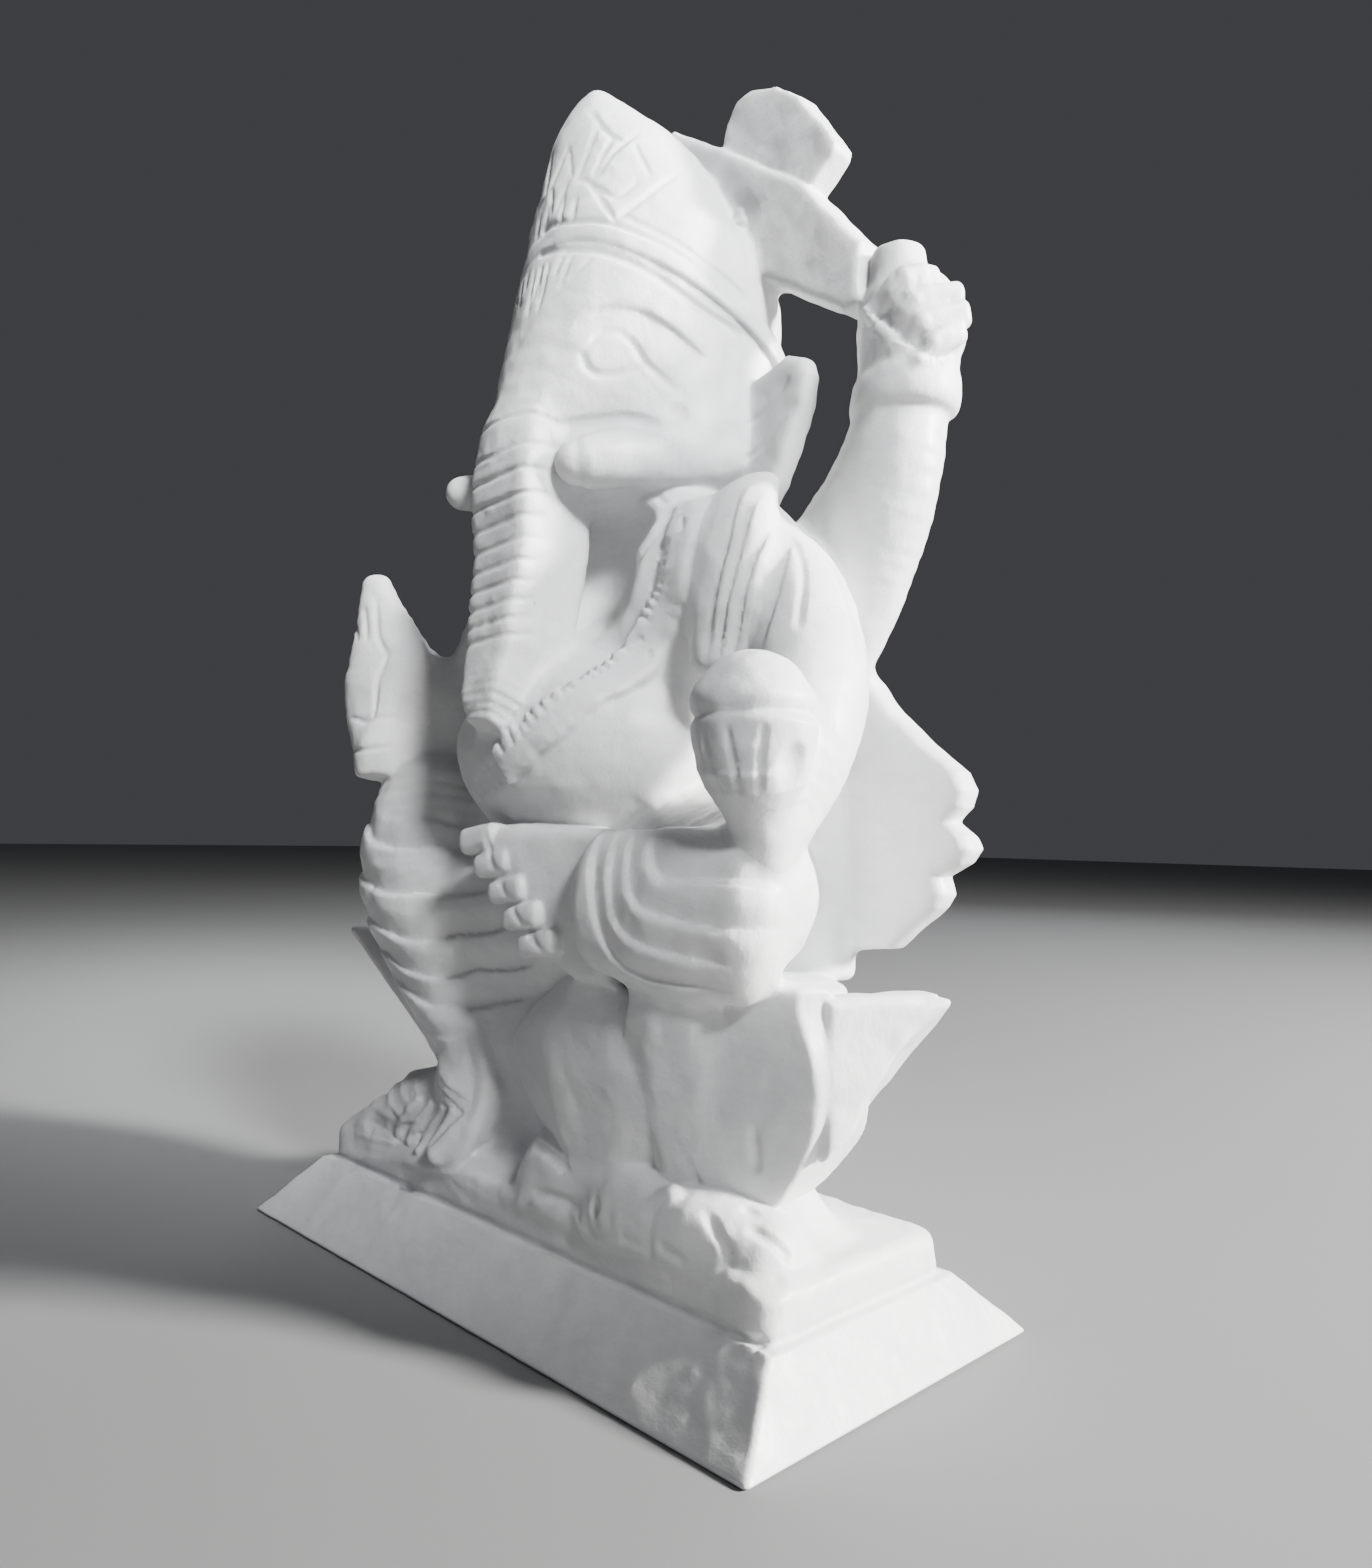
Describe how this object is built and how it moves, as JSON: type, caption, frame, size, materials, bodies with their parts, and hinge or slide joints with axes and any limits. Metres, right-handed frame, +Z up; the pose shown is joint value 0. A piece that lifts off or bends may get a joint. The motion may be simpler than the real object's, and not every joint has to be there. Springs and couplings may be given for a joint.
{
  "type": "ganesha idol",
  "caption": "Seated elephant-headed deity carved in white marble, on a lotus over a stepped plinth, with a raised axe, a sweet in one hand and a blessing hand.",
  "frame": {"origin": "middle of the plinth's underside, on the surface that the idol stands on", "axes": "+Z up, -Y the way the face looks, +X the figure's own left"},
  "size_m": [0.1919, 0.094, 0.3048],
  "materials": {
    "marble_plinth": "satin",
    "marble_lotus": "satin",
    "marble_offerings": "matte",
    "marble_body": "satin",
    "marble_attributes": "satin",
    "marble_head": "satin"
  },
  "bodies": {
    "root": {"axe_blade": "marble_attributes", "axe_handle_end": "marble_attributes", "axe_shaft": "marble_attributes", "back_slab": "marble_body", "belly": "marble_body", "chest": "marble_body", "crown": "marble_head", "crown_band": "marble_head", "crown_leaf": "marble_head", "drape_left": "marble_body", "drape_right": "marble_body", "ear_left": "marble_head", "ear_right": "marble_head", "face": "marble_head", "hips": "marble_body", "left_anklet": "marble_body", "left_foot": "marble_body", "left_forearm": "marble_body", "left_hand": "marble_body", "left_shin": "marble_body", "left_thigh": "marble_body", "left_upper_arm": "marble_body", "lotus_bud": "marble_attributes", "lotus_core": "marble_lotus", "lotus_petal_corner_left": "marble_lotus", "lotus_petal_corner_right": "marble_lotus", "lotus_petal_front_left": "marble_lotus", "lotus_petal_front_right": "marble_lotus", "lotus_petal_inner_left": "marble_lotus", "lotus_petal_rear_left": "marble_lotus", "lotus_petal_rear_right": "marble_lotus", "lotus_petal_side_left": "marble_lotus", "lotus_petal_side_right": "marble_lotus", "mouse_body": "marble_offerings", "mouse_ear_left": "marble_offerings", "mouse_ear_right": "marble_offerings", "mouse_head": "marble_offerings", "plinth_lower": "marble_plinth", "plinth_upper": "marble_plinth", "raised_left_arm": "marble_body", "raised_left_bracelet": "marble_body", "raised_left_fist": "marble_body", "raised_right_arm": "marble_body", "raised_right_bracelet": "marble_body", "raised_right_fist": "marble_body", "right_ankle": "marble_body", "right_bracelet": "marble_body", "right_foot": "marble_body", "right_forearm": "marble_body", "right_hand": "marble_body", "right_shin": "marble_body", "right_thigh": "marble_body", "right_upper_arm": "marble_body", "sacred_thread": "marble_body", "shawl": "marble_body", "sweet_ball": "marble_attributes", "sweet_mound": "marble_offerings", "trunk": "marble_head", "tusk_left": "marble_head", "tusk_right": "marble_head"}
  },
  "joints": []
}
